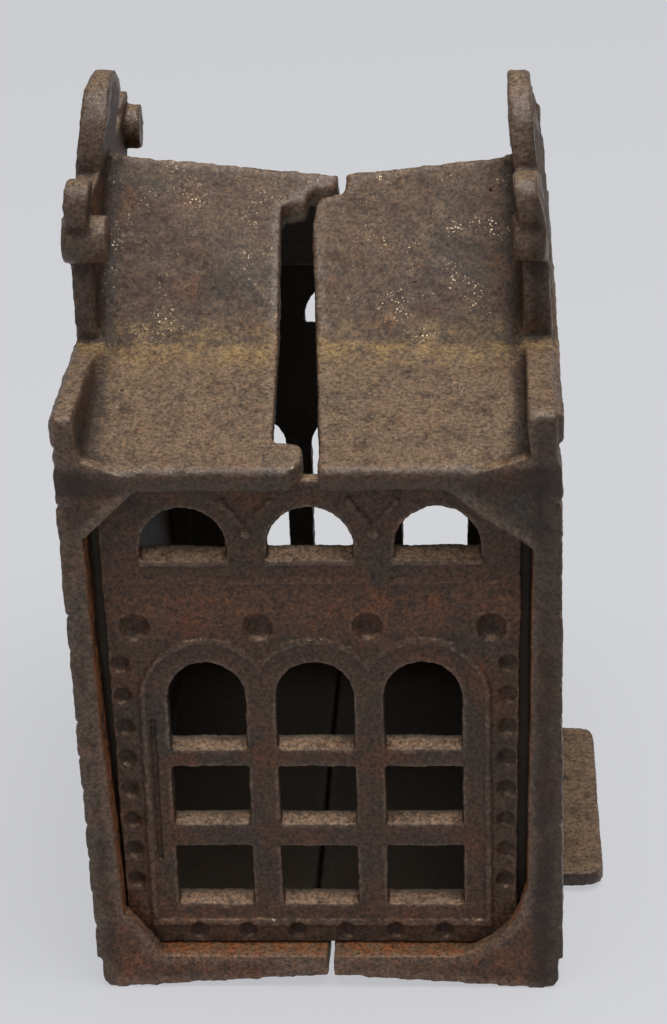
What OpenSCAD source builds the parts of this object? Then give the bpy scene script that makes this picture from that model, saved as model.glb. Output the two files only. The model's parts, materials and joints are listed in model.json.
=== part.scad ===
// Cast iron still bank shaped like a small gabled building.
// Two half castings, each a facade plate with half the roof and half the floor,
// close on a pierced panel at each side and are drawn together by one long screw.
// X runs from the back facade to the front facade, Y across a facade, Z up.
// The origin is on the surface that the bank stands on, under the middle of the
// box that holds the whole bank, from the screw's head to the step.

/* [Building] */
// Distance between the outer faces of the two facades at the foot
bank_w = 60; // [60:0.5:62]
// Width of each facade
facade_w = 88.4; // [84:0.2:94]
// Height of the side edges of the facades, where their copings lie
coping_z = 79.2; // [78.8:0.1:79.6]
// Height of the eaves
eave_z = 72.0; // [71.6:0.1:72.4]
// Height of the crease between the lower and the upper roof slope
crease_z = 79.0; // [78.6:0.1:79.2]
// Distance of the crease from the middle plane
crease_y = 18.8; // [18.4:0.1:19]
// Ridge height beside the back facade
ridge_z = 98.0; // [97:0.2:98.4]
// Ridge height of the back half at the joint, lower by the moulding draft
ridge_mid_z = 94.8; // [94:0.1:95.4]
// Ridge height beside the front facade
front_ridge_z = 97.1; // [96.5:0.1:97.5]
// Ridge height of the front half at the joint
front_mid_z = 94.4; // [94:0.1:95]

/* [Castings] */
// Degrees by which the back facade leans outwards
back_lean = 1.1; // [1:0.1:1.2]
// Degrees by which the front facade leans inwards
front_lean = 0.35; // [0.3:0.05:0.4]
// Degrees by which the neck of the front gable leans inwards
neck_lean = 3; // [2.5:0.1:3.2]
// Radius of the fillets between the roof and the facades
fillet_r = 2; // [1.4:0.1:2.4]
// Roof thickness, measured upright
roof_t = 2.7; // [2.4:0.1:3]
// Height of the floor's top face
floor_top = 4.7; // [4.4:0.1:5]
// Height of the floor's underside at the joint, raised by the draft
floor_mid_z = 1.8; // [1.2:0.1:2]
// How far relief stands out of a facade
relief_h = 0.6; // [0.4:0.1:0.8]
// Gap between the halves beside the coin slot
joint_gap = 1.0; // [0.8:0.1:1.4]

/* [Gable] */
// Half width of the gable above the roof
gable_y = 19.2; // [18.8:0.1:19.6]
// Height of the rounded shoulders
shoulder_z = 100.5; // [100:0.1:100.8]
// Radius of the rounded shoulders, which overhang the gable's neck
shoulder_r = 3.4; // [3:0.1:3.6]
// Height of the middle lobe of the back gable, the highest point of the bank
peak_z = 108.6; // [108.2:0.1:109]
// Height of the middle lobe of the front gable
front_peak_z = 107.8; // [107.4:0.1:108.1]
// Radius of the middle lobe
peak_r = 9.4; // [9:0.1:9.8]

/* [Coin slot] */
// Where the slot's edge on the back half is, from the middle
slot_back_x = 4.5; // [4.4:0.1:4.8]
// Where the slot's edge on the front half is, at its middle
slot_front_x = 0.1; // [0:0.1:0.3]
// Distance of the slot's lower end from the middle plane
slot_low_y = 38.2; // [37.5:0.1:38.6]
// Distance of the slot's upper end from the middle plane
slot_high_y = 3.8; // [3.5:0.1:4.2]

/* [Step] */
// Length of the step
step_w = 41.4; // [38:0.2:44]
// Depth of the step
step_d = 6.6; // [6:0.1:7.2]
// Height of the step's top face
step_h = 2.7; // [2.4:0.1:3]
// Height of the step's underside, which clears the ground
step_low = 0.8; // [0.4:0.1:1]

/* [Side panels] */
// Panel width at its foot
panel_w = 49.6; // [49:0.1:49.7]
// Panel width at its top
panel_top_w = 51.3; // [50.8:0.1:51.5]
// Panel height
panel_h = 64.6; // [64:0.1:64.8]
// Panel thickness, without its relief
panel_t = 2.5; // [2.2:0.1:2.6]
// How far the outer face lies behind the facades' edges
panel_recess = 3.1; // [3:0.05:3.3]
// How far the near panel lies off the middle in its channel
panel_play = 0.2; // [0:0.05:0.25]
// Height of the raised lines on a panel
line_h = 0.45; // [0.3:0.05:0.55]

/* [Windows] */
// Spacing of the three window columns
column_pitch = 13.4; // [13.2:0.1:13.7]
// Width of a window opening
window_w = 9.7; // [9.2:0.1:9.8]
// Width of a lunette opening
lunette_w = 10.5; // [10:0.1:10.7]
// Spacing of the lunettes
lunette_pitch = 15.4; // [15.2:0.1:15.6]
// Diameter of a large dimple
big_dimple_d = 3.7; // [3.4:0.1:4]
// Diameter of a small dimple
small_dimple_d = 2.4; // [2.2:0.1:2.6]

/* [Assembly screw] */
// Height of the screw's axis
screw_z = 35; // [34:0.5:37]
// Shank diameter
screw_d = 4; // [3.6:0.1:4.4]
// Head diameter
head_d = 8.5; // [8:0.1:9]
// Head height
head_h = 3; // [2.6:0.1:3.2]
// Running clearance on the radius in the front boss
thread_play = 0.05; // [0.03:0.01:0.08]
// Length of the boss behind the front facade
boss_l = 9; // [8:0.5:11]

/* [Hidden] */
$fn = 48;
far = 200;
half_w = bank_w / 2;
half_f = facade_w / 2;
eave_y = half_f - 0.15;
floor_y = half_f - 0.1;
lip_y = half_f - 0.05;
cornice_z = 75;
corner_r = 1.6;
knob_r = 1.8;
panel_y = half_f - panel_recess;
panel_foot = floor_top + 0.25;
lip_back_y = panel_y + line_h + 0.3;
rib_y = panel_y - panel_t - 0.35;
floor_joint_x = 0.7;
sill_z = [10.5, 22.2, 32.9];
head_z = [19.2, 30.6, 45.2];
sill_rise = 0.9;
lunette_z = 60.8;
iron = [0.33, 0.28, 0.24];
dark_iron = [0.25, 0.21, 0.19];
root = 0.4;
head_gap = 0.05;
seat_x = half_w - 0.4;
step_reach = half_w + step_d;
head_reach = seat_x + head_gap + head_h;
centre_x = (step_reach - head_reach) / 2;
// Where each facade's bare outer face and its inner face stand at the foot
back_face = half_w - 1.65;
front_face = half_w - 0.05;
back_in = half_w - 4.7;
front_in = half_w - 4;
// Inner faces of the facades at the eaves and at the neck
back_eave = half_w - 2.8;
front_eave = half_w - 3.35;
back_neck = half_w - 2.4;
front_neck = half_w - 4.2;
// The front gable's neck starts to lean at this point of its outer face
neck_x = half_w - 0.5;
neck_z = 80;

// ---------------------------------------------------------------- helpers

// A YZ outline given thickness from x0 to x1
module slab(x0, x1) {
    translate([x0, 0, 0])
        rotate([90, 0, 90])
            linear_extrude(x1 - x0) children();
}

// An XZ outline given thickness from y0 to y1
module wall(y0, y1) {
    translate([0, y1, 0])
        rotate([90, 0, 0])
            linear_extrude(y1 - y0) children();
}

// Takes a piece from the facades' middle to the middle of the whole bank
module placed() {
    translate([-centre_x, 0, 0]) children();
}

module both_sides_y() {
    children();
    mirror([0, 1, 0]) children();
}

function arc_points(cx, cy, r, a0, a1, n = 8) =
    [for (i = [0 : n]) let (a = a0 + (a1 - a0) * i / n) [cx + r * cos(a), cy + r * sin(a)]];

// ---------------------------------------------------------------- one half, drawn as the +X one

module gable_outline(peak) {
    r = 1.8;
    lobe_y = gable_y + 0.2;
    lobe_z = shoulder_z - shoulder_r;
    bracket_z = 89;
    polygon(concat(
        [[-half_f, 0], [half_f, 0]],
        arc_points(half_f - r, coping_z - r, r, 0, 90, 5),
        [[gable_y, coping_z], [gable_y, lobe_z], [-gable_y, lobe_z], [-gable_y, coping_z]],
        arc_points(-half_f + r, coping_z - r, r, 90, 180, 5)
    ));
    translate([-lobe_y, lobe_z - 1]) square([2 * lobe_y, 1.8]);
    for (side = [-1, 1]) {
        translate([side * lobe_y, lobe_z]) circle(shoulder_r);
        // Bracket under the shoulder
        polygon([
            [side * (gable_y - 1), bracket_z], [side * gable_y, bracket_z],
            [side * (gable_y + 2.4), bracket_z + 3], [side * (gable_y + 3), lobe_z - 0.6],
            [side * (gable_y - 1), lobe_z - 0.6]
        ]);
    }
    translate([0, peak - peak_r]) circle(peak_r);
}

// Sections through the plates. The back one leans outwards as far as its neck,
// the front one inwards, and both curve inwards at the top of the gable.
module back_section() {
    polygon(concat(
        arc_points(back_face - corner_r, corner_r, corner_r, -90, 0),
        [
            [half_w - 0.15, 75], [half_w + 0.1, neck_z], [half_w + 0.35, 94], [half_w + 0.3, 98.4],
            [half_w - 0.2, 102.5], [half_w - 0.7, peak_z - 1.4], [half_w - 1.4, peak_z - 0.3],
            [half_w - 1.9, peak_z + 0.1], [half_w - 3.4, peak_z + 0.1], [half_w - 4, peak_z - 0.6],
            [half_w - 3.9, 104.3], [back_neck - 0.7, 100.8], [back_neck - 0.2, 97], [back_neck, neck_z],
            [back_eave, 62], [back_eave - 0.2, 50],
            [back_in + 1.3, 38], [back_in + 0.6, 25], [back_in, 12], [back_in, 0]
        ]
    ));
}

module front_section() {
    polygon(concat(
        arc_points(front_face - corner_r, corner_r, corner_r, -90, 0),
        [
            [front_face - 0.4, 55], [neck_x + 0.05, 78], [neck_x, neck_z], [half_w - 1.25, 94],
            [half_w - 1.65, 96.5], [half_w - 2.3, 99], [half_w - 2.9, 105.6],
            [half_w - 3.05, front_peak_z - 0.8], [half_w - 3.6, front_peak_z - 0.1],
            [half_w - 4, front_peak_z + 0.1], [half_w - 5.4, front_peak_z + 0.1],
            [half_w - 5.9, front_peak_z - 0.5], [half_w - 5.7, 102], [half_w - 5.1, 98],
            [half_w - 4.4, 93.7], [front_neck + 0.15, neck_z],
            [front_eave, 70], [front_eave, 62], [front_in + 0.4, 37.6], [front_in, 14.5], [front_in, 0]
        ]
    ));
}

// Round knobs that end the copings
module knobs(x) {
    both_sides_y()
        translate([x, half_f - knob_r + 0.5, cornice_z - 1.4]) sphere(knob_r);
}

// Scrolls that stand out of a bracket's face, from x0 to x1
module scrolls(x0, x1, near_z, far_z) {
    for (place = [[-gable_y - 0.5, near_z], [gable_y + 0.5, far_z]])
        slab(x0, x1) translate(place) circle(2.9);
}

// A hollow fillet along one roof slope, from a to b in the YZ plane
module fillet_run(x_in, a, b) {
    r = fillet_r;
    bite = 0.8;
    translate([x_in, a[0], a[1]])
        rotate([atan2(b[1] - a[1], b[0] - a[0]), 0, 0])
            wall(0, norm(b - a))
                polygon(concat([[bite, -bite], [-r, -bite]], arc_points(-r, r, r, -90, 0, 6), [[bite, r]]));
}

module roof_fillets(x_eave, x_neck, top, peak) {
    intersection() {
        slab(x_neck - 4, x_neck + 3) gable_outline(peak);
        both_sides_y() {
            fillet_run(x_eave, [-eave_y, eave_z], [-crease_y, crease_z]);
            fillet_run(x_neck, [-crease_y, crease_z], [0, top]);
            fillet_run(x_neck, [-1.3, top - 0.5], [0.2, top - 0.3]);
        }
    }
}

// Roof shell: two slopes a side, with the ridge falling towards the joint.
// Everything above a plane through the falling ridge is cut off on each side.
module roof_half(end, top, mid) {
    start = -3;
    edge = 0.7;
    fall = (top - mid) / end;
    pitch = (mid - crease_z) / crease_y;
    turn = -atan(fall);
    difference() {
        slab(start, end)
            polygon([
                [-eave_y, eave_z - roof_t], [-eave_y, eave_z - edge], [-eave_y + edge, eave_z + 0.1],
                [-crease_y, crease_z], [0, top], [crease_y, crease_z],
                [eave_y - edge, eave_z + 0.1], [eave_y, eave_z - edge],
                [eave_y, eave_z - roof_t], [crease_y - 0.7, crease_z - roof_t - 0.2],
                [0, mid - roof_t], [-crease_y + 0.7, crease_z - roof_t - 0.2]
            ]);
        both_sides_y()
            intersection() {
                translate([0, 0, mid])
                    rotate([atan(pitch * cos(turn)), turn, 0])
                        translate([-far / 2, -far / 2, 0]) cube(far);
                translate([start - 1, -crease_y, crease_z - 1])
                    cube([end - start + 2, crease_y + 0.01, 2 * (top - crease_z)]);
            }
    }
}

// Floor with its underside rising towards the joint and a pocket under it
module floor_half(x_joint, x_in) {
    difference() {
        wall(-floor_y, floor_y)
            polygon([
                [x_joint, floor_mid_z], [x_in - 1, 0.1], [x_in + 1, 0.1],
                [x_in + 1, floor_top], [x_joint, floor_top]
            ]);
        translate([x_joint + 3, -half_f + 6, -1])
            cube([x_in - x_joint - 5, facade_w - 12, 3]);
    }
}

// Lap of the floor joint: the front half's tongue lies over the back half's ledge,
// drawn grown all round for the rebate that it runs in
module floor_lap(grow) {
    lap_x = -1.3;
    lap_low = 3.5;
    lap_y = 37.5;
    translate([lap_x - grow, -lap_y - grow, lap_low - grow])
        cube([4, 2 * (lap_y + grow), floor_top - lap_low + 2 * grow]);
}

// Straight gusset lips that hold a panel in at its corners
module lips_straight() {
    both_sides_y()
        wall(lip_back_y, lip_y) {
            polygon([
                [back_in + 1, 10.8], [half_w - 5.3, 10.6], [half_w - 9.6, floor_top], [half_w - 10, 1],
                [back_in + 1, 1]
            ]);
            polygon([
                [back_eave + 1, 63.4], [back_eave - 0.4, 63.6], [half_w - 9.3, 69.6],
                [half_w - 10.5, 70.5], [back_eave + 1, 74]
            ]);
        }
}

// The front half's lips are larger, and the lower ones are hollowed by a curve
module lips_curved() {
    both_sides_y()
        wall(lip_back_y, lip_y) {
            polygon(concat(
                [[front_in + 1, 1], [front_in + 1, 14.3], [front_in - 0.3, 14.2]],
                arc_points(half_w - 15.4, 15.6, 11.2, -12, -75, 7),
                [[half_w - 13, floor_top], [half_w - 13, 1]]
            ));
            polygon([
                [front_eave + 1, 61.7], [front_eave - 0.1, 61.8], [half_w - 9, 65.6],
                [half_w - 13.8, 69.6], [half_w - 14, 70.5], [front_eave + 1, 74]
            ]);
        }
}

// Upright ribs behind each panel
module inner_ribs(x_in) {
    both_sides_y()
        translate([x_in - 2.2, rib_y - 1.8, floor_top - 0.5])
            cube([5, 1.8, eave_z - floor_top - 1.5]);
}

// Stands relief, drawn on the plane x = 0, on a face that leans by some degrees
module on_face(x, z, lean) {
    translate([x, 0, z])
        rotate([0, lean, 0])
            translate([0, 0, -z]) children();
}

// Quoins down the side edges of a facade, alternately long and short
module quoins() {
    pitch = 4.9;
    both_sides_y()
        for (i = [0 : 13])
            translate([-root, half_f - (i % 2 == 0 ? 7 : 5), 4.4 + i * pitch])
                cube([relief_h + root, i % 2 == 0 ? 7 : 5, pitch - 0.6]);
}

module string_course(z, h, y_half, proud) {
    translate([-root, -y_half, z]) cube([proud + root, 2 * y_half, h]);
}

// An arched outline, as wide as w, from z to the springing and a half round above
module arched(w, z, h) {
    translate([-w / 2, z]) square([w, h - w / 2]);
    translate([0, z + h - w / 2]) circle(w / 2);
}

// A blind window: a raised surround, a field at plate level and a raised cross bar
module blind_window(y, z, w, h) {
    slab(-root, relief_h)
        translate([y, 0]) difference() {
            arched(w + 2.4, z - 1.2, h + 2.4);
            arched(w, z, h);
        }
    slab(-root, relief_h - 0.2)
        translate([y, 0]) {
            translate([-0.5, z - 0.1]) square([1, h]);
            translate([-w / 2 - 0.1, z + h * 0.42]) square([w + 0.2, 1]);
        }
    slab(-root, relief_h + 0.2)
        translate([y, 0]) translate([-w / 2 - 1.8, z - 2.2]) square([w + 3.6, 1.2]);
}

// Relief on the neck of a gable: a string course and a round light
module neck_relief() {
    string_course(90.6, 3.1, gable_y - 0.3, relief_h - 0.4);
    translate([-root, 0, 84]) rotate([0, 90, 0]) {
        difference() {
            cylinder(h = relief_h + root - 0.2, r = 4.8);
            translate([0, 0, -1]) cylinder(h = 4, r = 3.4);
        }
        cylinder(h = relief_h + root - 0.3, r = 1.3);
    }
}

// Relief that both facades carry
module wall_relief() {
    quoins();
    string_course(cornice_z, 3.4, half_f - 1.2, relief_h + 0.2);
    string_course(47.6, 2, half_f - 7, relief_h);
    for (y = [-26, -9, 9, 26]) blind_window(y, 54, 8, 15);
    for (y = [-27, 27]) blind_window(y, 14, 11, 27);
}

module door() {
    slab(-root, relief_h + 0.1)
        difference() {
            arched(19, 5.2, 38);
            arched(15, 5.1, 35.8);
        }
    slab(-root, relief_h - 0.3)
        for (side = [-1, 1]) {
            translate([side * 3.6 - 2.6, 8]) square([5.2, 8]);
            translate([side * 3.6 - 2.6, 18.2]) square([5.2, 10]);
        }
    slab(-root, relief_h - 0.2) translate([-0.5, 5.2]) square([1, 26]);
    slab(-root, relief_h - 0.1) translate([-8, 30.4]) square([16, 1.3]);
}

// Plan of the front half: everything on its side of the joint and the slot
module front_plan() {
    gap = joint_gap / 2;
    polygon([
        [far, -far], [slot_front_x + 1.2, -far], [slot_front_x + 1.1, -slot_low_y - 2],
        [slot_front_x, -20], [slot_front_x - 0.9, -slot_high_y - 2], [slot_front_x - 0.7, -slot_high_y + 0.6],
        [slot_front_x + 0.1, -slot_high_y + 1.5], [slot_front_x + 3, -slot_high_y + 1.9],
        [slot_front_x + 3.3, 0], [slot_front_x + 3.3, 6], [slot_front_x + 0.4 + gap, 8],
        [slot_front_x + 0.4 + gap, far], [far, far]
    ]);
}

// Plan of the back half, with its two tongues
module back_plan() {
    gap = joint_gap / 2;
    tongue = slot_front_x + 3.2 - joint_gap;
    polygon([
        [-far, -far], [slot_front_x - 2.6, -far], [slot_front_x - 2.6, -eave_y],
        [slot_front_x - 1.5, -slot_low_y - 4.9], [slot_front_x - 0.9, -slot_low_y - 3.6],
        [slot_front_x - 0.7, -slot_low_y - 2.6],
        [slot_front_x - 0.7, -slot_low_y - 1.9],
        [slot_front_x - 0.9, -slot_low_y - 1.1], [slot_front_x - 1.4, -slot_low_y - 0.5],
        [slot_front_x - 2.2, -slot_low_y - 0.2], [-slot_back_x + 0.5, -slot_low_y],
        [-slot_back_x, -slot_low_y + 0.6], [-slot_back_x - 0.4, -slot_high_y - 0.4],
        [-slot_back_x + 0.3, -slot_high_y], [slot_front_x - 1.8, -slot_high_y + 0.4],
        [slot_front_x - 1.5, -slot_high_y + 1.9], [tongue - 0.5, -slot_high_y + 2.4],
        [tongue, -slot_high_y + 2.9], [tongue, 5.6], [slot_front_x + 0.2 - gap, 6.6],
        [slot_front_x + 0.2 - gap, far], [-far, far]
    ]);
}

// The step: a slab with rounded corners on its outer side
module entrance_step() {
    r = 2.6;
    translate([0, 0, step_low])
        linear_extrude(step_h - step_low)
            polygon(concat(
                [[front_face - 1, -step_w / 2]],
                arc_points(step_reach - r, -step_w / 2 + r, r, -90, 0),
                arc_points(step_reach - r, step_w / 2 - r, r, 0, 90),
                [[front_face - 1, step_w / 2]]
            ));
}

// ---------------------------------------------------------------- side panel, drawn as the near one

module panel_outline() {
    polygon([
        [-panel_w / 2, panel_foot], [panel_w / 2, panel_foot],
        [panel_top_w / 2, panel_foot + panel_h], [-panel_top_w / 2, panel_foot + panel_h]
    ]);
}

module window_opening(row) {
    if (row < 2)
        translate([-window_w / 2, sill_z[row] + sill_rise])
            square([window_w, head_z[row] - sill_z[row] - sill_rise]);
    else
        arched(window_w, sill_z[row] + sill_rise, head_z[row] - sill_z[row] - sill_rise);
}

// Sloping sill under an opening, falling outwards
module sill_cut(w, z, y_front) {
    translate([-w / 2, 0, 0])
        slab(0, w)
            polygon([
                [y_front - 1, z - sill_rise / panel_t], [y_front + panel_t, z + sill_rise],
                [y_front + panel_t, z + 2], [y_front - 1, z + 2]
            ]);
}

// Raised line around the three columns: straight sides and a trefoil head
module trefoil_field(grow) {
    r = 7.9 + grow;
    base = 8 - grow;
    centre_z = 40.2;
    translate([-column_pitch - r, base]) square([2 * (column_pitch + r), centre_z - base]);
    for (k = [-1 : 1]) translate([k * column_pitch, centre_z]) circle(r);
}

module dimple(x, z, d) {
    translate([x, -panel_y - d * 0.2, z]) sphere(d * 0.57);
}

module side_panel() {
    front = -panel_y;
    back = front + panel_t;
    difference() {
        union() {
            wall(front, back) panel_outline();
            // Trefoil line
            wall(front - line_h, front + 0.2)
                difference() {
                    trefoil_field(0.45);
                    trefoil_field(-0.35);
                }
            // Ledges under the lunettes
            for (k = [-1 : 1])
                translate([k * lunette_pitch - lunette_w / 2 - 0.2, front - line_h, lunette_z - 2.4])
                    cube([lunette_w + 0.4, line_h + 0.2, 0.8]);
            // Band above the dimples
            translate([-panel_w / 2 + 2, front - 0.3, 56]) cube([panel_w - 4, 0.5, 0.5]);
            translate([-panel_w / 2 + 2, front - 0.2, 53.4]) cube([panel_w - 4, 0.4, 0.4]);
            // V lines and knobs between the lunettes
            for (x = [-7.7, 7.7]) {
                for (tilt = [-1, 1])
                    translate([x, front - 0.35, 63.2]) rotate([0, tilt * 38, 0])
                        translate([-0.35, 0, 0]) cube([0.7, 0.6, 5]);
                translate([x, front, 62.8]) sphere(0.9);
            }
        }
        for (k = [-1 : 1]) {
            translate([k * column_pitch, 0, 0])
                for (row = [0 : 2]) {
                    wall(front - 2, back + 1) window_opening(row);
                    sill_cut(window_w, sill_z[row], front);
                }
            translate([k * lunette_pitch, 0, 0]) {
                wall(front - 2, back + 1)
                    intersection() {
                        translate([0, lunette_z]) circle(lunette_w / 2);
                        translate([-lunette_w, lunette_z - 0.8]) square(2 * lunette_w);
                    }
                sill_cut(lunette_w, lunette_z - 1.6, front);
            }
        }
        // Groove beside one outer column
        translate([-20.6, front - 1, 17]) cube([0.6, 1.5, 20.4]);
        for (x = [-21.9, -6.75, 6.75, 21.9]) dimple(x, 50, big_dimple_d);
        for (i = [0 : 7], side = [-1, 1]) dimple(side * (23.5 + i * 0.06), 14.2 + i * 4.4, small_dimple_d);
        for (i = [0 : 5]) dimple((i - 2.5) * 6.3, 6.7, small_dimple_d);
    }
}

// ---------------------------------------------------------------- pieces

module back_half() {
    color(iron) placed()
        difference() {
            union() {
                mirror([1, 0, 0]) {
                    intersection() {
                        slab(back_in - 1, half_w + 1) gable_outline(peak_z);
                        wall(-half_f, half_f) back_section();
                    }
                    knobs(half_w - 1.3);
                    roof_fillets(back_eave + 0.2, back_neck, ridge_z, peak_z);
                    scrolls(half_w - 4.8, half_w + 0.8, 92.9, 95.6);
                    floor_half(-floor_joint_x, back_in);
                    inner_ribs(back_in);
                    lips_straight();
                    on_face(back_face, 0, back_lean) wall_relief();
                    on_face(half_w + 0.1, neck_z, back_lean) neck_relief();
                    // Round seat that the screw head bears on
                    translate([seat_x - 2, 0, screw_z]) rotate([0, 90, 0]) cylinder(h = 2, r = 7);
                }
                intersection() {
                    mirror([1, 0, 0]) roof_half(half_w - 1.4, ridge_z, ridge_mid_z);
                    linear_extrude(far) back_plan();
                }
            }
            floor_lap(0.35);
            translate([-half_w - 1, 0, screw_z]) rotate([0, 90, 0])
                cylinder(h = 8, d = screw_d + 0.6);
        }
}

module front_half() {
    boss_x = half_w - 2.8;
    color(iron) placed()
        difference() {
            union() {
                intersection() {
                    slab(front_neck - 3, half_w + 1) gable_outline(front_peak_z);
                    wall(-half_f, half_f) front_section();
                }
                knobs(half_w - 1.8);
                scrolls(half_w - 5.4, half_w - 1.4, 92.6, 94.8);
                roof_fillets(front_eave, front_neck, front_ridge_z, front_peak_z);
                floor_half(floor_joint_x + 0.6, front_in);
                floor_lap(0);
                inner_ribs(front_in);
                lips_curved();
                on_face(front_face, 0, -front_lean) {
                    wall_relief();
                    door();
                }
                on_face(neck_x, neck_z, -neck_lean) neck_relief();
                intersection() {
                    roof_half(half_w - 2.6, front_ridge_z, front_mid_z);
                    linear_extrude(far) front_plan();
                }
                entrance_step();
                translate([boss_x - boss_l, 0, screw_z]) rotate([0, 90, 0])
                    cylinder(h = boss_l, d = screw_d + 5);
            }
            translate([boss_x - 1 - boss_l, 0, screw_z]) rotate([0, 90, 0])
                cylinder(h = boss_l, r = screw_d / 2 + thread_play);
        }
}

module near_side_panel() {
    color(dark_iron) placed() translate([-panel_play, 0, 0]) side_panel();
}

module far_side_panel() {
    color(dark_iron) placed() mirror([0, 1, 0]) side_panel();
}

// Round head with a driver slot, bearing on the back facade
module assembly_screw() {
    shank = seat_x + head_gap + half_w - 5.5;
    color([0.3, 0.27, 0.24]) placed()
        translate([-seat_x - head_gap, 0, screw_z]) rotate([0, 90, 0]) {
            cylinder(h = shank, d = screw_d);
            difference() {
                intersection() {
                    translate([0, 0, -head_h]) cylinder(h = head_h, d = head_d);
                    translate([0, 0, head_d * 0.62 - head_h]) sphere(head_d * 0.62);
                }
                translate([-head_d, -0.6, -head_h - 1]) cube([2 * head_d, 1.2, 2]);
            }
        }
}

back_half();
front_half();
near_side_panel();
far_side_panel();
assembly_screw();
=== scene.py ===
"""Cast iron still bank: the looks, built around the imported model."""

import json
import math

import bmesh
import bpy
import numpy as np
from mathutils import Matrix, Vector

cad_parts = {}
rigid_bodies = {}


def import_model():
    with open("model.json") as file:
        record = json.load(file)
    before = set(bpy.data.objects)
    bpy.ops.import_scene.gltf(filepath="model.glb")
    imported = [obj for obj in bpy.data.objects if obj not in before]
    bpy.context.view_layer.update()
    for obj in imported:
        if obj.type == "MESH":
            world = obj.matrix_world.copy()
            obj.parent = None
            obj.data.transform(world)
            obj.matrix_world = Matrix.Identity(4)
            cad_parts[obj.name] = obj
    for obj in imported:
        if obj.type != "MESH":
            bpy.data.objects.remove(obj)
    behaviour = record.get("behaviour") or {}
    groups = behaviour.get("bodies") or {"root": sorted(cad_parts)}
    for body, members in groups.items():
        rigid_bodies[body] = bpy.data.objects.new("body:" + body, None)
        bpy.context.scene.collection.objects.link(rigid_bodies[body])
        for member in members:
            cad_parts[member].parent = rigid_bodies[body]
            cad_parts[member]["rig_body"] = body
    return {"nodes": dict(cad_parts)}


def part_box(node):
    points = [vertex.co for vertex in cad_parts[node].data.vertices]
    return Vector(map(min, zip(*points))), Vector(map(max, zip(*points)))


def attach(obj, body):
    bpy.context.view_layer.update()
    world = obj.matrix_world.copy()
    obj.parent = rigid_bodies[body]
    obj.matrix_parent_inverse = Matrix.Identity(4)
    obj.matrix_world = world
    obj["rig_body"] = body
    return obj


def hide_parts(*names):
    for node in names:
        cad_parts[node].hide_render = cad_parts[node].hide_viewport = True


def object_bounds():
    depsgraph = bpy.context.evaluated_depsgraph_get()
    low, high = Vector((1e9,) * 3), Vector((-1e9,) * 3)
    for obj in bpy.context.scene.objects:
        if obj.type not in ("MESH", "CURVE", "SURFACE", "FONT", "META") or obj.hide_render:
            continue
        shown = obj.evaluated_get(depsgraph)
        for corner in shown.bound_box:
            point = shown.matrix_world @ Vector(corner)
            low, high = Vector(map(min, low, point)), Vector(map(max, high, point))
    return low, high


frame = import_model()
cad_low, cad_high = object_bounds()

MM = 0.001

# ------------------------------------------------------------------ the frame's own places, in metres

panel_low, panel_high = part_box("far_side_panel")
# The middle of the bank's body, which the screw's head and the step put off the origin
middle_x = (panel_low.x + panel_high.x) / 2
top_z = cad_high.z
# How far the backs of the side panels are from the middle, in millimetres
panel_back_y = -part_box("near_side_panel")[1].y / MM

# ------------------------------------------------------------------ camera

LENS_MM = 101.95
VIEW_AZIMUTH = 3.34
VIEW_ELEVATION = 24.11
VIEW_ROLL = -1.71
VIEW_DISTANCE = 412.23 * MM
AIM_RIGHT = -0.445 * MM
AIM_UP = 42.92 * MM
AIM_X = -0.4 * MM
CLIP_START = 10 * MM


def make_camera():
    """The camera looks down at the near side from slightly to its right, with a small roll."""
    turn, drop, roll = (math.radians(a) for a in (VIEW_AZIMUTH, VIEW_ELEVATION, VIEW_ROLL))
    forward = Vector(
        (-math.sin(turn) * math.cos(drop), math.cos(turn) * math.cos(drop), -math.sin(drop))
    )
    level = Vector((math.cos(turn), math.sin(turn), 0))
    raised = level.cross(forward)
    right = math.cos(roll) * level + math.sin(roll) * raised
    up = -math.sin(roll) * level + math.cos(roll) * raised
    origin = Vector((middle_x + AIM_X, 0, 0))
    data = bpy.data.cameras.new("camera")
    data.lens = LENS_MM
    data.clip_start = CLIP_START
    camera = bpy.data.objects.new("camera", data)
    turned = Matrix((right, up, -forward)).transposed().to_4x4()
    place = origin + AIM_RIGHT * right + AIM_UP * up - VIEW_DISTANCE * forward
    camera.matrix_world = Matrix.Translation(place) @ turned
    bpy.context.scene.collection.objects.link(camera)
    bpy.context.scene.camera = camera


# ------------------------------------------------------------------ node graphs

# The specular level of old iron, lower than a clean surface's 0.5
SPECULAR_LEVEL = 0.35


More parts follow.
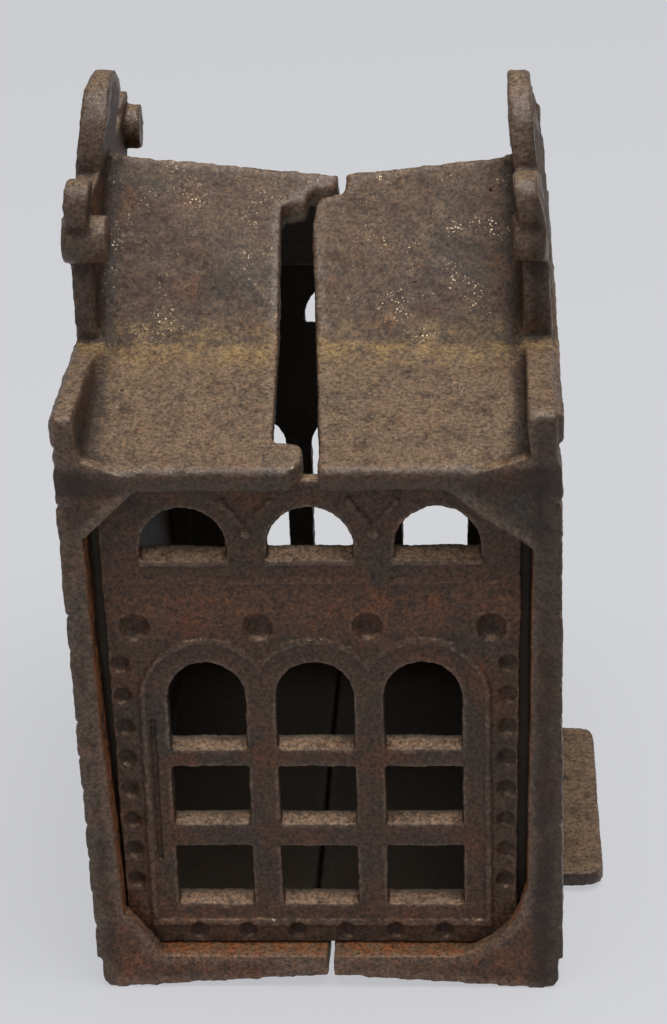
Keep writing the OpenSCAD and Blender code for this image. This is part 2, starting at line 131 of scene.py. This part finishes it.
class Graph:
    """A material's nodes. Lengths in it are millimetres, taken in the piece's own coordinates."""

    def __init__(self, name):
        self.material = bpy.data.materials.new(name)
        self.material.use_nodes = True
        self.tree = self.material.node_tree
        self.tree.nodes.clear()
        coordinates = self.add("ShaderNodeTexCoord")
        self.place = self.add("ShaderNodeMapping")
        self.place.inputs["Scale"].default_value = (1 / MM,) * 3
        self.link(coordinates.outputs["Object"], self.place.inputs["Vector"])

    def add(self, kind):
        return self.tree.nodes.new(kind)

    def link(self, source, target):
        self.tree.links.new(source, target)

    def feed(self, socket, value):
        if isinstance(value, bpy.types.NodeSocket):
            self.link(value, socket)
        elif isinstance(value, tuple):
            socket.default_value = (*value, 1)
        else:
            socket.default_value = value

    def noise(self, size, detail=2, rough=0.5, shift=0):
        """Noise from 0 to 1, in blotches about as large as size. A shift gives another pattern."""
        node = self.add("ShaderNodeTexNoise")
        place = self.place.outputs["Vector"]
        if shift:
            moved = self.add("ShaderNodeVectorMath")
            moved.inputs[1].default_value = (shift, 2 * shift, 3 * shift)
            self.link(place, moved.inputs[0])
            place = moved.outputs[0]
        self.link(place, node.inputs["Vector"])
        node.inputs["Scale"].default_value = 1 / size
        node.inputs["Detail"].default_value = detail
        node.inputs["Roughness"].default_value = rough
        return node.outputs["Fac"]

    def grains(self, size):
        """A random number for each grain of that size."""
        node = self.add("ShaderNodeTexVoronoi")
        self.link(self.place.outputs["Vector"], node.inputs["Vector"])
        node.inputs["Scale"].default_value = 1 / size
        split = self.add("ShaderNodeSeparateColor")
        self.link(node.outputs["Color"], split.inputs["Color"])
        return split.outputs[0]

    def mask(self, name):
        """A value that the mesh carries at its points."""
        node = self.add("ShaderNodeAttribute")
        node.attribute_name = name
        return node.outputs["Fac"]

    def ramp(self, value, low, high):
        """0 at low, 1 at high, and smooth between them."""
        node = self.add("ShaderNodeMapRange")
        node.interpolation_type = "SMOOTHSTEP"
        self.feed(node.inputs["Value"], value)
        if low > high:
            low, high = high, low
            node.inputs["To Min"].default_value = 1
            node.inputs["To Max"].default_value = 0
        node.inputs["From Min"].default_value = low
        node.inputs["From Max"].default_value = high
        return node.outputs["Result"]

    def math(self, operation, a, b):
        node = self.add("ShaderNodeMath")
        node.operation = operation
        self.feed(node.inputs[0], a)
        self.feed(node.inputs[1], b)
        return node.outputs[0]

    def mix(self, share, a, b, blend="MIX"):
        node = self.add("ShaderNodeMix")
        node.data_type = "RGBA"
        node.blend_type = blend
        self.feed(node.inputs[0], share)
        self.feed(node.inputs[6], a)
        self.feed(node.inputs[7], b)
        return node.outputs[2]

    def facing_up(self):
        """1 where the surface faces up, and 0 where it stands upright."""
        node = self.add("ShaderNodeNewGeometry")
        split = self.add("ShaderNodeSeparateXYZ")
        self.link(node.outputs["Normal"], split.inputs[0])
        return split.outputs["Z"]

    def bump(self, height, depth, under=None):
        """The normal of a bumpy surface that deep, over another bump if one is given."""
        node = self.add("ShaderNodeBump")
        node.inputs["Distance"].default_value = depth * MM
        self.link(height, node.inputs["Height"])
        if under:
            self.link(under, node.inputs["Normal"])
        return node.outputs["Normal"]

    def finish(self, colour, rough, normal, metallic):
        shader = self.add("ShaderNodeBsdfPrincipled")
        out = self.add("ShaderNodeOutputMaterial")
        self.feed(shader.inputs["Base Color"], colour)
        self.feed(shader.inputs["Roughness"], rough)
        self.feed(shader.inputs["Metallic"], metallic)
        shader.inputs["Specular IOR Level"].default_value = SPECULAR_LEVEL
        self.link(normal, shader.inputs["Normal"])
        self.link(shader.outputs[0], out.inputs["Surface"])
        return self.material


# ------------------------------------------------------------------ materials


def linear(r, g, b):
    """A linear colour from one given as 0 to 255 on a screen."""
    return tuple(
        (c / 255 / 12.92) if c < 11 else ((c / 255 + 0.055) / 1.055) ** 2.4 for c in (r, g, b)
    )


RUST = linear(140, 84, 48)
# A painted highlight for the roof's creases
PAINTED_CREASE_HIGHLIGHT = linear(140, 114, 76)
# Painted shade for the hollows
PAINTED_HOLLOW_SHADE = linear(44, 32, 26)
ON_EDGES = linear(132, 112, 96)
BRIGHT_SPECK = linear(205, 186, 152)
DARK_PORE = linear(34, 27, 23)
IN_CHAMBER = linear(94, 86, 75)
# Painted shade for the plates' side edges and the eaves
PAINTED_SHADE_COLOUR = linear(34, 25, 20)
MOTTLE_LOW = (0.3, 0.3, 0.3)
MOTTLE_HIGH = (1.75, 1.7, 1.62)


def aged_iron(name, base, cool, warm, dust_and_top_light, dust_and_top_light_share):
    """Old sand-cast iron: grain, dark pores, bright specks, cool and warm patches, dust and rust,
    with painted light on faces turned up, a painted highlight along the creases, and painted shade in
    hollows and on edges turned front and back.
    """
    g = Graph(name)
    up = g.facing_up()
    # Patches, dust that has settled together with painted light from above on faces turned up, rust,
    # a painted highlight along the creases, painted shade in hollows, and worn edges
    colour = g.mix(g.ramp(g.noise(9, 4, 0.6), 0.45, 0.68), base, cool)
    colour = g.mix(g.ramp(g.noise(6, 4, 0.6, 31), 0.5, 0.72), colour, warm)
    # Faces turned up take the dust colour: partly real dust, partly painted light falling from above
    lying = g.ramp(up, 0.55, 1.0)
    settled = g.ramp(g.noise(2.2, 4, 0.7, 53), 0.25, 0.55)
    dusty_and_top_lit = g.math("MULTIPLY", lying, settled)
    colour = g.mix(g.math("MULTIPLY", dusty_and_top_lit, dust_and_top_light_share), colour, dust_and_top_light)
    rust = g.math("MULTIPLY", g.mask("rust"), g.ramp(g.noise(1.6, 4, 0.7, 71), 0.36, 0.62))
    colour = g.mix(rust, colour, RUST)
    # A painted highlight along the roof's creases
    crease_highlight = g.math("MULTIPLY", g.mask("crease_highlight"), g.ramp(g.noise(2.5, 4, 0.7, 17), 0.38, 0.62))
    colour = g.mix(crease_highlight, colour, PAINTED_CREASE_HIGHLIGHT)
    # Painted shade in the hollows
    colour = g.mix(g.math("MULTIPLY", g.mask("hollow"), 0.8), colour, PAINTED_HOLLOW_SHADE)
    colour = g.mix(g.math("MULTIPLY", g.mask("edge"), 0.3), colour, ON_EDGES)
    # Fine mottling, dark pores and bright specks
    mottle = g.ramp(g.noise(0.5, 4, 0.8, 5), 0.3, 0.7)
    colour = g.mix(0.95, colour, g.mix(mottle, MOTTLE_LOW, MOTTLE_HIGH), "MULTIPLY")
    places = g.math("MULTIPLY", g.ramp(g.noise(5, 3, 0.6, 83), 0.48, 0.7), g.ramp(up, 0.3, 0.6))
    bright = g.math("MULTIPLY", g.ramp(g.grains(0.17), 0.9, 0.98), places)
    colour = g.mix(g.math("MULTIPLY", bright, 0.6), colour, BRIGHT_SPECK)
    pores = g.math("MULTIPLY", g.ramp(g.grains(0.26), 0.88, 0.96), 0.4)
    colour = g.mix(pores, colour, DARK_PORE)
    # The coin chamber, and painted shade on the plates' side edges and the eaves where they face
    # front and back
    colour = g.mix(g.math("MULTIPLY", g.mask("inside"), 0.85), colour, IN_CHAMBER)
    colour = g.mix(g.math("MULTIPLY", g.mask("painted_shade"), 0.8), colour, PAINTED_SHADE_COLOUR)
    # The sand grain's relief, and where it shines
    grain = g.noise(0.38, 3, 0.7)
    normal = g.bump(g.noise(1.7, 3, 0.55, 11), 0.12)
    normal = g.bump(grain, 0.075, normal)
    rough = g.math("SUBTRACT", 0.6, g.math("MULTIPLY", bright, 0.3))
    rough = g.math("SUBTRACT", rough, g.math("MULTIPLY", g.mask("edge"), 0.2))
    metallic = g.math("MULTIPLY", bright, 0.8)
    return g.finish(colour, rough, normal, metallic)


def worn_steel():
    """The old screw: dark turned steel with rust in its slot."""
    g = Graph("worn_steel")
    patches = g.ramp(g.noise(2.4, 4, 0.6), 0.4, 0.65)
    colour = g.mix(patches, linear(92, 82, 74), linear(58, 46, 38))
    rust = g.ramp(g.noise(1.1, 4, 0.7, 23), 0.52, 0.66)
    colour = g.mix(g.math("MULTIPLY", rust, 0.7), colour, linear(122, 74, 45))
    mottle = g.ramp(g.noise(0.4, 3, 0.75, 5), 0.25, 0.75)
    colour = g.mix(0.5, colour, g.mix(mottle, (0.5, 0.5, 0.5), (1.4, 1.4, 1.4)), "MULTIPLY")
    normal = g.bump(g.noise(0.35, 3, 0.7), 0.05)
    rough = g.ramp(g.noise(0.9, 3, 0.6, 41), -0.6, 1.4)
    metallic = g.math("SUBTRACT", 0.75, g.math("MULTIPLY", rust, 0.6))
    return g.finish(colour, rough, normal, metallic)


def plain(name, colour, rough):
    """One colour all over."""
    material = bpy.data.materials.new(name)
    material.use_nodes = True
    shader = material.node_tree.nodes["Principled BSDF"]
    shader.inputs["Base Color"].default_value = (*colour, 1)
    shader.inputs["Roughness"].default_value = rough
    return material


# ------------------------------------------------------------------ castings

# The most triangles in a piece
MAX_FACES = 196000
# How far the skin wavers, in millimetres, at each size of unevenness
UNEVEN_HEIGHT = 0.28
COARSE_HEIGHT = 0.16
GRAIN_HEIGHT = 0.14
SMOOTH_ROUNDS = 4
# Sizes of the remeshing grid, in millimetres; the panels carry the finer relief
HALF_VOXEL = 0.3
PANEL_VOXEL = 0.2
# Rounds of smoothing between which an edge stands proud, or a hollow lies low
FEW_ROUNDS = 2
MANY_ROUNDS = 24


def smoothed(points, edges, rounds):
    """The points after that many rounds of moving each halfway to the mean of its neighbours."""
    count = np.bincount(edges.ravel(), minlength=len(points))[:, None].clip(1)
    for _ in range(rounds):
        total = np.zeros_like(points)
        for axis in range(3):
            total[:, axis] = np.bincount(edges[:, 0], points[edges[:, 1], axis], len(points))
            total[:, axis] += np.bincount(edges[:, 1], points[edges[:, 0], axis], len(points))
        points = (points + total / count) / 2
    return points


def step_up(value, low, high):
    """0 under low, 1 over high, and smooth between them."""
    t = np.clip((value - low) / (high - low), 0, 1)
    return t * t * (3 - 2 * t)


def step_down(value, low, high):
    """1 under low, 0 over high, and smooth between them."""
    return step_up(-value, -high, -low)


def near(value, at, reach):
    """1 at that value, falling to 0 a reach away."""
    return 1 - step_up(np.abs(value - at), 0, reach)


def set_mask(mesh, name, values):
    attribute = mesh.attributes.new(name, "FLOAT", "POINT")
    attribute.data.foreach_set("value", values.astype(np.float32))


def read_points(mesh):
    points = np.zeros(len(mesh.vertices) * 3)
    mesh.vertices.foreach_get("co", points)
    return points.reshape(-1, 3)


def clouds(name, size, detail):
    """A cloudy height texture, in puffs of that size in millimetres."""
    texture = bpy.data.textures.new(name, "CLOUDS")
    texture.noise_scale = size * MM
    texture.noise_depth = detail
    return texture


def displace(piece, texture, height):
    modifier = piece.modifiers.new(texture.name, "DISPLACE")
    modifier.texture = texture
    modifier.texture_coords = "LOCAL"
    modifier.mid_level = 0.5
    modifier.strength = height * MM


def welded_copy(node):
    """The CAD node's mesh with its doubled points joined, as a new object."""
    mesh = frame["nodes"][node].data.copy()
    work = bmesh.new()
    work.from_mesh(mesh)
    bmesh.ops.remove_doubles(work, verts=work.verts, dist=1e-7)
    work.to_mesh(mesh)
    work.free()
    mesh.materials.clear()
    piece = bpy.data.objects.new("cast_" + node, mesh)
    bpy.context.scene.collection.objects.link(piece)
    return piece


def give_sand_skin(piece, voxel):
    """Rounds every edge and makes every face uneven and grainy, with at most MAX_FACES triangles."""
    skin = piece.modifiers.new("skin", "REMESH")
    skin.mode = "VOXEL"
    skin.voxel_size = voxel * MM
    soften = piece.modifiers.new("soften", "SMOOTH")
    soften.factor = 0.5
    soften.iterations = SMOOTH_ROUNDS
    displace(piece, UNEVEN, UNEVEN_HEIGHT)
    displace(piece, COARSE, COARSE_HEIGHT)
    displace(piece, GRAIN, GRAIN_HEIGHT)
    graph = bpy.context.evaluated_depsgraph_get()
    faces = len(piece.evaluated_get(graph).data.polygons) * 2
    thin = piece.modifiers.new("thin", "DECIMATE")
    thin.ratio = min(1, MAX_FACES / faces)
    graph = bpy.context.evaluated_depsgraph_get()
    made = bpy.data.meshes.new_from_object(piece.evaluated_get(graph))
    piece.modifiers.clear()
    piece.data = made


def read_normals(mesh):
    normals = np.zeros(len(mesh.vertices) * 3)
    mesh.vertices.foreach_get("normal", normals)
    return normals.reshape(-1, 3)


def read_edges(mesh):
    edges = np.zeros(len(mesh.edges) * 2, int)
    mesh.edges.foreach_get("vertices", edges)
    return edges.reshape(-1, 2)


def cast_piece(node, material, voxel, masks):
    """A CAD node as it comes out of sand, inside the node's own box."""
    piece = welded_copy(node)
    give_sand_skin(piece, voxel)
    made = piece.data
    made.materials.clear()
    made.materials.append(material)
    made.shade_smooth()
    low, high = (np.array(corner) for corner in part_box(node))
    points = read_points(made).clip(low, high)
    made.vertices.foreach_set("co", points.ravel())
    made.update()
    # Masks for edges and hollows come from how far a point is from the smoothed surface
    edges = read_edges(made)
    normals = read_normals(made)
    blunted = smoothed(points, edges, FEW_ROUNDS) - smoothed(points, edges, MANY_ROUNDS)
    proud = (blunted * normals).sum(1) / MM
    set_mask(made, "edge", step_up(proud, 0.05, 0.22))
    # The hollow mask places painted shade in the hollows
    set_mask(made, "hollow", step_up(-proud, 0.05, 0.3))
    for name, rule in masks.items():
        set_mask(made, name, rule(points, normals))
    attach(piece, frame["nodes"][node]["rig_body"])
    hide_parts(node)
    return piece


# Where the masks lie, in millimetres from the middle of the body and from the ground.
# A pair gives where a mask starts to change and where it has changed.

INNER_FACE_X = (22, 25)
INNER_FACE_TOP = (66, 72)
BETWEEN_PLATES_X = (25, 28)
FLOOR_Z = 4.7
PLATE_EDGE_X = (26, 27.5)
EAVE_LOW = (68.5, 69.5)
EAVE_HIGH = (71.6, 73)
CREASE_Y = 18.8
CREASE_Z = 79
# Where the painted highlight lies along the roof's creases
CREASE_HIGHLIGHT_Y = 20.5
CREASE_HIGHLIGHT_LOW = (70, 75)
CREASE_HIGHLIGHT_HIGH = (81, 84)
# How much the roof falls outside the crease, and rises inside it, per millimetre
LOWER_PITCH = 0.278
UPPER_PITCH = 0.84
CHAMBER_X = (27.8, 28.2)
CHAMBER_LOW = (3.4, 4.2)
UNDER_ROOF = (1.0, 1.8)
PANEL_ARCHES_Z = 53
PANEL_FOOT_Z = 9


def from_middle(points):
    """The points' x, y and z in millimetres from the middle of the body and from the ground."""
    return ((points - np.array((middle_x, 0, 0))) / MM).T


def rust_on_halves(points, normals):
    """Rust lies on the facades' inner faces, on the gusset lips and on the floor's flange."""
    x, y, z = from_middle(points)
    inner_face = step_up(-np.sign(x) * normals[:, 0], 0.5, 0.9)
    inner_face = inner_face * step_up(np.abs(x), *INNER_FACE_X) * step_down(z, *INNER_FACE_TOP)
    lips = step_up(np.abs(normals[:, 1]), 0.1, 0.4)
    lips = lips * step_down(np.abs(x), *BETWEEN_PLATES_X) * near(z, 4, 12)
    flange = step_up(normals[:, 2], 0.5, 0.9) * near(z, FLOOR_Z, 1.2)
    return np.clip(inner_face * 0.9 + lips * 0.35 + flange, 0, 1)


def painted_shade_on_halves(points, normals):
    """Painted shade on the plates' side edges and the roof's eaves where they face front and back,
    the front plate's the most.
    """
    x, y, z = from_middle(points)
    edges = 0.75 * step_up(x, *PLATE_EDGE_X) + 0.3 * step_up(-x, *PLATE_EDGE_X)
    eaves = 0.7 * step_up(z, *EAVE_LOW) * step_down(z, *EAVE_HIGH)
    return step_up(np.abs(normals[:, 1]), 0.4, 0.8) * np.clip(edges + eaves, 0, 1)


def crease_highlight_on_halves(points, normals):
    """A painted highlight along the roof's creases, on faces turned up."""
    x, y, z = from_middle(points)
    crease = near(np.abs(y), CREASE_HIGHLIGHT_Y, 5.5) * step_up(normals[:, 2], 0.3, 0.7)
    return crease * step_up(z, *CREASE_HIGHLIGHT_LOW) * step_down(z, *CREASE_HIGHLIGHT_HIGH)


def inside_halves(points, normals):
    """1 on the surfaces of the coin chamber, under the roof and behind the panels."""
    x, y, z = from_middle(points)
    across = np.abs(y)
    lower = CREASE_Z - (across - CREASE_Y) * LOWER_PITCH
    upper = CREASE_Z + (CREASE_Y - across) * UPPER_PITCH
    roof = np.where(across > CREASE_Y, lower, upper)
    chamber = step_down(across, panel_back_y - 0.6, panel_back_y + 0.6)
    chamber = chamber * step_down(np.abs(x), *CHAMBER_X)
    return chamber * step_up(roof - z, *UNDER_ROOF) * step_up(z, *CHAMBER_LOW)


def rust_on_panels(points, normals):
    """A little rust lies at the arches and at the foot of a panel."""
    x, y, z = from_middle(points)
    return 0.3 * near(z, PANEL_ARCHES_Z, 6) + 0.15 * near(z, PANEL_FOOT_Z, 5)


def inside_panels(points, normals):
    """1 on the back of a panel."""
    x, y, z = from_middle(points)
    return step_down(np.abs(y), panel_back_y + 0.1, panel_back_y + 0.9)


def nothing(points, normals):
    return np.zeros(len(points))


UNEVEN = clouds("uneven", 5, 1)
COARSE = clouds("coarse", 1.3, 1)
GRAIN = clouds("grain", 0.55, 0)


def make_castings():
    # In both irons the dust colour is partly real dust and partly painted light on faces turned up
    casting = aged_iron(
        "casting_iron",
        base=linear(70, 50, 38),
        cool=linear(55, 47, 40),
        warm=linear(94, 60, 38),
        dust_and_top_light=linear(122, 99, 77),
        dust_and_top_light_share=0.85,
    )
    panel = aged_iron(
        "panel_iron",
        base=linear(72, 53, 41),
        cool=linear(56, 47, 40),
        warm=linear(86, 54, 37),
        dust_and_top_light=linear(160, 131, 107),
        dust_and_top_light_share=0.95,
    )
    # The halves carry a painted crease highlight and painted shade besides rust and the chamber
    on_halves = {
        "rust": rust_on_halves,
        "crease_highlight": crease_highlight_on_halves,
        "painted_shade": painted_shade_on_halves,
        "inside": inside_halves,
    }
    for half in ("back_half", "front_half"):
        cast_piece(half, casting, HALF_VOXEL, on_halves)
    # The panels get no painted crease highlight and no painted shade on edges
    on_panels = {"rust": rust_on_panels, "crease_highlight": nothing, "painted_shade": nothing, "inside": inside_panels}
    for side in ("near_side_panel", "far_side_panel"):
        cast_piece(side, panel, PANEL_VOXEL, on_panels)


def make_screw():
    """The screw keeps its CAD shape."""
    screw = frame["nodes"]["assembly_screw"]
    screw.data.materials.clear()
    screw.data.materials.append(worn_steel())


# ------------------------------------------------------------------ stage

FLOOR_REACH = 3.0
FLOOR_GREY = (0.17, 0.17, 0.17)
FLOOR_ROUGHNESS = 0.8
TENT_WHITE = (0.93, 0.96, 1, 1)
TENT_STRENGTH = 0.2
# The floor glows a little, as one lit from all round does, which weakens the bank's shadow
GLOW_WHITE = (0.94, 0.95, 1, 1)
GLOW_STRENGTH = 0.5


def make_stage():
    mesh = bpy.data.meshes.new("floor")
    work = bmesh.new()
    bmesh.ops.create_grid(work, x_segments=1, y_segments=1, size=FLOOR_REACH)
    work.to_mesh(mesh)
    work.free()
    pale = plain("pale_floor", FLOOR_GREY, FLOOR_ROUGHNESS)
    glow = pale.node_tree.nodes["Principled BSDF"].inputs
    glow["Emission Color"].default_value = GLOW_WHITE
    glow["Emission Strength"].default_value = GLOW_STRENGTH
    mesh.materials.append(pale)
    floor = bpy.data.objects.new("floor", mesh)
    bpy.context.scene.collection.objects.link(floor)
    world = bpy.data.worlds.new("studio")
    bpy.context.scene.world = world
    world.use_nodes = True
    sky = world.node_tree.nodes["Background"]
    sky.inputs["Color"].default_value = TENT_WHITE
    sky.inputs["Strength"].default_value = TENT_STRENGTH


def soft_light(name, place, size, power):
    """A rectangular lamp at a place, in metres, that looks at the middle of the bank."""
    data = bpy.data.lights.new(name, "AREA")
    data.shape = "RECTANGLE"
    data.size, data.size_y = size
    data.energy = power
    light = bpy.data.objects.new(name, data)
    light.location = place
    aim = Vector((0, 0, top_z / 2)) - Vector(place)
    light.rotation_euler = aim.to_track_quat("-Z", "Y").to_euler()
    bpy.context.scene.collection.objects.link(light)


def make_lights():
    soft_light("overhead", (0.15, -0.15, 1.0), (0.8, 0.8), 9.5)
    soft_light("front_left", (-0.7, -0.8, 0.6), (0.5, 0.5), 1.0)


bpy.context.scene.view_settings.view_transform = "Standard"
make_camera()
make_stage()
make_lights()
make_castings()
make_screw()
